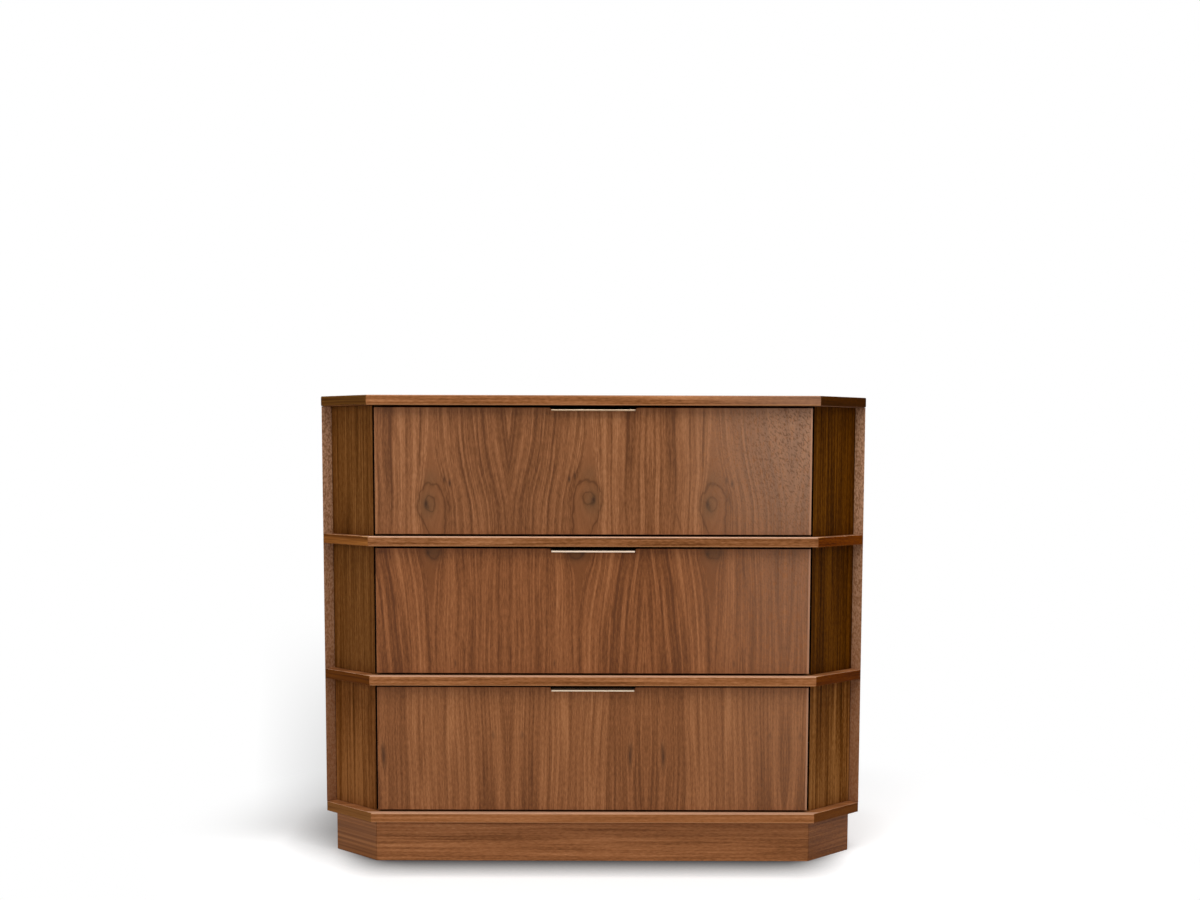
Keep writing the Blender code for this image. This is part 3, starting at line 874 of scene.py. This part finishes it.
def birch(name, thickness, grain, seed):
    """thickness and grain name the axes, as letters, across the board and along its fibres."""
    finish = Finish(name)
    place = dict(zip("XYZ", finish.place()))
    facing = dict(zip("XYZ", finish.facing()))
    width = next(axis for axis in "XYZ" if axis not in (thickness, grain))
    line = streaks(finish, place[width], place[grain], place[thickness] + seed, 0.009, 12, 2.0)
    fleck = streaks(finish, place[width], place[grain], seed * 1.7, 0.0015, 5)
    colour = finish.ramp(line * 1.3 + fleck * 0.7 + 0.55, BIRCH)
    settings = {"operation": "PINGPONG"}
    ply = finish.node("ShaderNodeMath", settings, {0: place[thickness], 1: PLY})
    cut = 1.0 - (abs(facing[thickness]) > 0.7)
    colour = finish.blend(cut * (ply < PLY / 2) * DARK_PLY_SHARE, colour, DARK_PLY)
    constants = [("Specular IOR Level", 0.25)]
    return finish.surface(colour, 0.48 + fleck * 0.2, line + fleck, 0.00008, constants)


for tier in TIERS:
    seed = TIERS.index(tier) + 1
    for side, sign in SIDES:
        dress(f"{tier}_drawer_side_{side}", birch(f"{tier} {side} box side", "X", "Y", seed * sign))
        wall = birch(f"{tier} {side} bay wall", "X", "Z", 9 + seed * sign)
        dress(f"{tier}_bay_wall_{side}", wall)
    dress(f"{tier}_drawer_back", birch(f"{tier} box back", "Y", "X", 20 + seed))
    dress(f"{tier}_drawer_bottom", birch(f"{tier} box bottom", "Z", "X", 30 + seed))
print("birch boards:", 6 * len(TIERS))

# %% Back panel
BACK = [(0.0, tint(112, 76, 50)), (0.5, tint(148, 107, 74)), (1.0, tint(178, 138, 102))]


def back_veneer():
    """A plainer, flatter walnut, as is usual on a back that faces a wall."""
    finish = Finish("back panel veneer")
    x, y, z = finish.place()
    leaf = finish.node("ShaderNodeMath", {"operation": "PINGPONG"}, {0: x, 1: LEAF * 1.3})
    tone, pore = walnut(finish, leaf, z, y, 61, 0.5, 1.4)
    constants = [("Specular IOR Level", 0.12)]
    relief = tone * GRAIN_RELIEF - pore
    return finish.surface(finish.ramp(tone, BACK), 0.55, relief, 0.00008, constants)


dress("back_panel", back_veneer())

# %% [markdown]
# ## Metal
#
# The pulls are bent from sheet and plated in a pale rose tone. They are brushed along their
# length, which stretches highlights across. Satin plating looks paler and softer than a bare
# mirror, so it is only partly metallic here. In the photograph a pull's lip is a bright line with
# a dark one beside it, so part of the lip's height is painted darker, as a painted reflection of
# the
# brown wood and the dark gap: the lower part, and on the bottom drawer the upper part. The slides
# are rolled from zinc-plated steel, fully metallic, bluish and a little cloudy, and their cut front
# ends are painted dark, as shade in the gap beside the fronts.

# %% Rose plating
ROSE_PLATE = {"top": tint(252, 222, 184), "middle": tint(255, 232, 208),
              "bottom": tint(252, 234, 206)}
BRUSHED_PLATE, BRUSHED_SHARE = tint(236, 208, 176), 0.3
SHADED_PLATE, SHADED_SHARE = tint(104, 64, 30), 0.85
BRIGHT_LIP = {"top": (-1.0, 0.0017), "middle": (-1.0, 0.0029), "bottom": (0.0013, 0.0040)}
LIP_DEPTH = 0.005
PLATE_METALLIC = {"top": 0.55, "middle": 0.40, "bottom": 0.55}


def rose_plate(tier, lipped=True):
    """Brushed and bright. A lipped one is painted darker above and below the bright part of its
    lip.
    """
    finish = Finish(f"{tier} pull rose plate" if lipped else f"{tier} screw rose plate")
    x, y, z = finish.place()
    brushed = finish.noise(finish.vector(x / 0.02, y / 0.0004, z / 0.0004), 2.0)
    colour = finish.blend(brushed.rise(0.3, 0.7) * BRUSHED_SHARE, ROSE_PLATE[tier], BRUSHED_PLATE)
    if lipped:
        lip, top_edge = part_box(f"{tier}_drawer_pull")
        first, last = BRIGHT_LIP[tier]
        # Painted reflection of the brown wood and the dark gap, above and below the lip's bright
        # part.
        dark = ((z < top_edge.z - last) + (z > top_edge.z - first)) * (y < lip.y + LIP_DEPTH)
        colour = finish.blend(dark * SHADED_SHARE, colour, SHADED_PLATE)
    constants = [("Metallic", PLATE_METALLIC[tier])]
    return finish.surface(colour, 0.22 + brushed * 0.12, brushed, 0.00001, constants)


print("bright part of a lip, below its top edge:", BRIGHT_LIP)

# %% Zinc, and both platings in place
ZINC = [(0.3, tint(148, 151, 156)), (0.7, tint(184, 187, 192))]
GAP_SHADE_CUT_END = tint(26, 25, 26)


def zinc_plate():
    finish = Finish("zinc plate")
    x, y, z = finish.place()
    cloud = finish.noise(finish.vector(x / 0.02, y / 0.02, z / 0.02), 3.0)
    rolled = finish.noise(finish.vector(x / 0.0006, y / 0.05, z / 0.0006), 1.0)
    constants = [("Metallic", 1.0)]
    roughness = 0.30 + cloud * 0.12
    facing_x, facing_y, facing_z = finish.facing()
    # Painted shade: the front ends, seen through the gap beside a front, are painted nearly black.
    colour = finish.blend(facing_y < -0.7, finish.ramp(cloud, ZINC), GAP_SHADE_CUT_END)
    return finish.surface(colour, roughness, rolled, 0.00002, constants)


screw_rose = rose_plate("top", lipped=False)
zinc = zinc_plate()
for tier in TIERS:
    dress(f"{tier}_drawer_pull", rose_plate(tier))
    for side, sign in SIDES:
        for member in ("cabinet", "middle", "drawer"):
            dress(f"{tier}_slide_{member}_{side}", zinc)
print("plated pieces:", 7 * len(TIERS))

# %% [markdown]
# ## Screws
#
# A screw head is a turned shape, so its mesh is a profile spun round an axis: rings of points, each
# with a radius and a height. The driver recess is part of the same profile, the rings just go down
# again towards the middle. Letting the radius of the inner rings swell four times round turns the
# round pit into a cross.

# %% Turned heads with a cross recess
RING_POINTS = 32


def turned(mesh, rings, place, across, up):
    """Adds a closed turned shape to a bmesh. rings are (radius, height, how far it is a cross)."""
    third = up.cross(across)
    rows = []
    for radius, height, cross in rings:
        row = []
        for step in range(RING_POINTS):
            angle = 2 * math.pi * step / RING_POINTS
            swell = 1 - cross * (1 - abs(math.cos(2 * angle)) ** 3)
            out = across * math.cos(angle) + third * math.sin(angle)
            row.append(mesh.verts.new(place + out * radius * swell + up * height))
        rows.append(row)
    for low, high in zip(rows, rows[1:]):
        for step in range(RING_POINTS):
            after = (step + 1) % RING_POINTS
            mesh.faces.new((low[step], low[after], high[after], high[step]))
    mesh.faces.new(rows[0][::-1])
    mesh.faces.new(rows[-1])


def pan_head(size, height):
    """The rings of a domed head with its recess, from the board outwards."""
    dome = [(size, 0.0, 0), (size, height * 0.30, 0), (size * 0.94, height * 0.62, 0),
            (size * 0.78, height * 0.88, 0), (size * 0.62, height, 0)]
    recess = [(size * 0.56, height, 0.62), (size * 0.42, height * 0.45, 0.70)]
    return dome + recess


def flat_head(size, height):
    """The rings of a countersunk head, which stands only a hair proud."""
    return [(size, 0.0, 0), (size * 0.97, height, 0), (size * 0.60, height, 0.60),
            (size * 0.45, height * 0.2, 0.70)]


print("points round a head:", RING_POINTS)

# %% Adding a piece
X, Y, Z = Vector((1, 0, 0)), Vector((0, 1, 0)), Vector((0, 0, 1))


def add_piece(name, mesh, body, material, bevel=0.0):
    """Turns a bmesh into a piece that rides with a body and wears the finish it is given."""
    bmesh.ops.recalc_face_normals(mesh, faces=mesh.faces)
    data = bpy.data.meshes.new(name)
    mesh.to_mesh(data)
    mesh.free()
    data.materials.append(material)
    piece = bpy.data.objects.new(name, data)
    bpy.context.scene.collection.objects.link(piece)
    if bevel:
        edges = piece.modifiers.new("eased edges", "BEVEL")
        edges.width = bevel
        edges.segments = 2
    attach(piece, body)
    print("added", name, "on", body)

# %% [markdown]
# ## Screws of the pulls
#
# Each pull goes over the notch and down behind the front, where three small screws hold it. They
# show only when the drawer is open.

# %% Pull screws
PULL_SCREW = pan_head(0.0030, 0.0016)
PULL_SCREW_LIFT = 0.006
PULL_SHARES = (-0.8, 0.0, 0.8)

for tier in TIERS:
    low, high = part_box(f"{tier}_drawer_pull")
    mesh = bmesh.new()
    for share in PULL_SHARES:
        spot = Vector((high.x * share, high.y, low.z + PULL_SCREW_LIFT))
        turned(mesh, PULL_SCREW, spot, (X + Z * share).normalized(), Y)
    add_piece(f"{tier}_pull_screws", mesh, f"{tier}_drawer", screw_rose)
print("pull screws at", [round(high.x * share, 3) for share in PULL_SHARES])

# %% [markdown]
# ## Balls and cages
#
# A telescopic slide runs on two rows of balls above and two below, held apart by a cage. The outer
# cage runs between the cabinet and the middle member, the inner one between the middle and the
# drawer member. A cage travels half as far as its members part, so at full extension the outer one
# is in the rear of the middle member and the inner one in its front. Each is placed there and
# rides with the middle member, which keeps every ball between two races at both ends of travel.

# %% Balls and strips
BALL_RINGS = 8
BALL_POINTS = 12


def ball(mesh, place, radius):
    rings = [(radius * math.sin(math.pi * step / BALL_RINGS),
              -radius * math.cos(math.pi * step / BALL_RINGS)) for step in range(1, BALL_RINGS)]
    rows = [[mesh.verts.new(place + Vector((size * math.cos(2 * math.pi * turn / BALL_POINTS),
                                            size * math.sin(2 * math.pi * turn / BALL_POINTS),
                                            height)))
             for turn in range(BALL_POINTS)] for size, height in rings]
    for low, high in zip(rows, rows[1:]):
        for turn in range(BALL_POINTS):
            after = (turn + 1) % BALL_POINTS
            mesh.faces.new((low[turn], low[after], high[after], high[turn]))
    mesh.faces.new(rows[0][::-1])
    mesh.faces.new(rows[-1])


def slab_between(mesh, low, high):
    """A flat strip of sheet between two corners."""
    made = bmesh.ops.create_cube(mesh, size=1.0)
    size, middle = high - low, (high + low) / 2
    for vertex in made["verts"]:
        vertex.co = Vector([vertex.co[i] * size[i] + middle[i] for i in range(3)])


print("points on a ball:", (BALL_RINGS - 1) * BALL_POINTS)

# %% Ball cages
SLIDE_SHEET = 0.0012
INNER_RACE = 0.0012
OUTER_BALLS_FROM_WALL, INNER_BALLS_FROM_WALL = 0.0062, 0.0076
BALLS_IN_ROW = 9
BALL_PLAY = 0.00015
CAGE_STRIP, CAGE_HALF_WIDTH = 0.0004, 0.0016
CAGE_MARGIN = 0.012


def cage(mesh, out, race_low, race_high, start, end):
    """Rows of balls in the races above and below the slide's level, with their strips."""
    for up in (1, -1):
        low, high = sorted((race_low[up], race_high[up]))
        middle, radius = (low + high) / 2, (high - low) / 2 - BALL_PLAY
        for step in range(BALLS_IN_ROW):
            along = start + (end - start) * (step + 0.5) / BALLS_IN_ROW
            ball(mesh, Vector((out, along, middle)), radius)
        half_strip = CAGE_STRIP / 2
        slab_between(mesh, Vector((out - CAGE_HALF_WIDTH, start, middle - half_strip)),
                     Vector((out + CAGE_HALF_WIDTH, end, middle + half_strip)))


for tier in TIERS:
    for side, sign in SIDES:
        cabinet_low, cabinet_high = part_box(f"{tier}_slide_cabinet_{side}")
        middle_low, middle_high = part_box(f"{tier}_slide_middle_{side}")
        wall = max(abs(cabinet_low.x), abs(cabinet_high.x))
        mid_y = (middle_low.y + middle_high.y) / 2
        mesh = bmesh.new()
        cage(mesh, sign * (wall - OUTER_BALLS_FROM_WALL),
             {1: middle_high.z, -1: middle_low.z},
             {1: cabinet_high.z - SLIDE_SHEET, -1: cabinet_low.z + SLIDE_SHEET},
             mid_y + CAGE_MARGIN, middle_high.y - CAGE_MARGIN)
        cage(mesh, sign * (wall - INNER_BALLS_FROM_WALL),
             {1: middle_high.z - SLIDE_SHEET - INNER_RACE, -1: middle_low.z + SLIDE_SHEET},
             {1: middle_high.z - SLIDE_SHEET, -1: middle_low.z + SLIDE_SHEET + INNER_RACE},
             middle_low.y + CAGE_MARGIN, mid_y - CAGE_MARGIN)
        add_piece(f"{tier}_slide_balls_{side}", mesh, f"{tier}_slides", zinc)
print("balls in a slide:", 4 * BALLS_IN_ROW)

# %% [markdown]
# ## Screws and catches of the slides
#
# The drawer member is screwed to the box side through its web, with heads inside its channel. The
# cabinet member has flat heads, since the middle member passes less than half a millimetre away.
# The catch that frees a drawer is pressed from the same steel and lies in the same channel.

# %% Outline of a catch
CATCH = [(-0.036, -0.003), (-0.026, -0.007), (-0.010, -0.004), (0.014, -0.0035), (0.030, -0.0055),
         (0.036, -0.002), (0.034, 0.004), (0.012, 0.0035), (-0.010, 0.004), (-0.022, 0.001),
         (-0.034, 0.002)]


def plate(mesh, outline, start, end, place):
    """An outline pulled straight from start to end. place turns (along, up, out) into a point."""
    rows = [[mesh.verts.new(place(along, up, out)) for along, up in outline]
            for out in (start, end)]
    for step in range(len(outline)):
        after = (step + 1) % len(outline)
        mesh.faces.new((rows[0][step], rows[0][after], rows[1][after], rows[1][step]))
    mesh.faces.new(rows[0][::-1])
    mesh.faces.new(rows[1])


print("a catch has", len(CATCH), "corners")

# %% Slide screws and catches
DRAWER_SCREWS = (-0.186, -0.128, 0.150)
DRAWER_HEAD = pan_head(0.0034, 0.0018)
DRAWER_HEAD_TURN = 9
CABINET_SCREWS = (-0.176, -0.080, 0.048, 0.170)
CABINET_HEAD = flat_head(0.0032, 0.00022)
CATCH_OUT = (0.0006, 0.0018)
CATCH_FORWARD = 0.062

for tier in TIERS:
    for side, sign in SIDES:
        low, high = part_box(f"{tier}_slide_drawer_{side}")
        level = (low.z + high.z) / 2
        web = min(abs(low.x), abs(high.x)) + SLIDE_SHEET
        mesh = bmesh.new()
        for along in DRAWER_SCREWS:
            spot = Vector((sign * web, along, level))
            across = (Y + Z * along * DRAWER_HEAD_TURN).normalized()
            turned(mesh, DRAWER_HEAD, spot, across, X * sign)
        plate(mesh, CATCH, web + CATCH_OUT[0], web + CATCH_OUT[1],
              lambda along, up, out: Vector((sign * out, along - CATCH_FORWARD, level + up)))
        add_piece(f"{tier}_slide_fixings_{side}", mesh, f"{tier}_drawer", zinc)
        low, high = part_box(f"{tier}_slide_cabinet_{side}")
        web = max(abs(low.x), abs(high.x)) - SLIDE_SHEET
        mesh = bmesh.new()
        for along in CABINET_SCREWS:
            spot = Vector((sign * web, along, level))
            turned(mesh, CABINET_HEAD, spot, Y, X * -sign)
        add_piece(f"{tier}_wall_screws_{side}", mesh, "carcass", zinc)
print("screws in a slide:", len(DRAWER_SCREWS) + len(CABINET_SCREWS))

# %% [markdown]
# ## Screws of the back
#
# The back is screwed to the rear edges of the dividers and of the walls that carry the slides, and
# that is what keeps the case square. The heads are flat and sit level with the veneer.

# %% Back screws
BACK_HEAD = flat_head(0.0036, 0.0003)
DIVIDER_STEPS, DIVIDER_PITCH, DIVIDER_TURN = (-2, -1, 0, 1, 2), 0.16, 0.3
WALL_LIFTS, WALL_TURN = (-0.09, 0.0, 0.09), 8


def middle_of(name):
    low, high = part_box(name)
    return (low + high) / 2


back_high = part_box("back_panel")[1]
mesh = bmesh.new()
for divider in ("upper_divider", "lower_divider"):
    for step in DIVIDER_STEPS:
        spot = Vector((step * DIVIDER_PITCH, back_high.y, middle_of(divider).z))
        turned(mesh, BACK_HEAD, spot, (X + Z * step * DIVIDER_TURN).normalized(), Y)
for tier in TIERS:
    for side, sign in SIDES:
        wall = middle_of(f"{tier}_bay_wall_{side}")
        for lift in WALL_LIFTS:
            spot = Vector((wall.x, back_high.y, wall.z + lift))
            turned(mesh, BACK_HEAD, spot, (X + Z * lift * WALL_TURN).normalized(), Y)
add_piece("back_screws", mesh, "carcass", zinc)
print("back screws:", 2 * len(DIVIDER_STEPS) + 2 * len(TIERS) * len(WALL_LIFTS))

# %% [markdown]
# ## Blocks behind the plinth
#
# Under the case, short three-cornered blocks are glued into the angle between the plinth boards and
# the base. They are seen only from below. Each is one prism with its edges eased.

# %% Plinth blocks
BLOCK = 0.026
BLOCK_LENGTH = 0.070
BLOCK_FLAT = 0.004
BLOCK_EASE = 0.0008
FRONT_BLOCKS = (-0.28, 0.0, 0.28)
SIDE_BLOCKS = (-0.06, 0.12)
under_base = shelf_low.z
front_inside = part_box("plinth_front")[1].y
side_inside = abs(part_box("plinth_side_left")[1].x)


def plinth_block(mesh, corner, inwards, along):
    """corner is the middle of the block's square edge, inwards points away from the board."""
    def place(out, up, run):
        return corner + inwards * out + Z * up + along * run
    outline = [(0.0, 0.0), (0.0, -BLOCK), (BLOCK_FLAT, -BLOCK), (BLOCK, -BLOCK_FLAT), (BLOCK, 0.0)]
    plate(mesh, outline, -BLOCK_LENGTH / 2, BLOCK_LENGTH / 2, place)


mesh = bmesh.new()
for x in FRONT_BLOCKS:
    plinth_block(mesh, Vector((x, front_inside, under_base)), Y, X)
for side, sign in SIDES:
    for y in SIDE_BLOCKS:
        plinth_block(mesh, Vector((sign * side_inside, y, under_base)), X * -sign, Y)
block_birch = birch("glue block birch", "Z", "X", 77)
add_piece("plinth_blocks", mesh, "carcass", block_birch, BLOCK_EASE)
print("plinth blocks:", len(FRONT_BLOCKS) + 2 * len(SIDE_BLOCKS))

# %% [markdown]
# ## Screws under the drawers
#
# A drawer bottom slides into its grooves from the rear, under the back board, and three screws from
# below hold it there.

# %% Bottom screws
BOTTOM_SCREW = pan_head(0.0030, 0.0015)
BOTTOM_SCREW_INSET = 0.006
BOTTOM_SHARES = (-0.6, 0.0, 0.6)

for tier in TIERS:
    low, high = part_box(f"{tier}_drawer_bottom")
    mesh = bmesh.new()
    for share in BOTTOM_SHARES:
        spot = Vector((high.x * share, high.y - BOTTOM_SCREW_INSET, low.z))
        turned(mesh, BOTTOM_SCREW, spot, (X + Y * share).normalized(), -Z)
    add_piece(f"{tier}_bottom_screws", mesh, f"{tier}_drawer", zinc)
print("bottom screws:", len(BOTTOM_SHARES) * len(TIERS))

# %% [markdown]
# ## The size of the whole
#
# The dressing adds next to nothing to the box round the dresser: only the heads of the back's
# screws stand a hair proud.
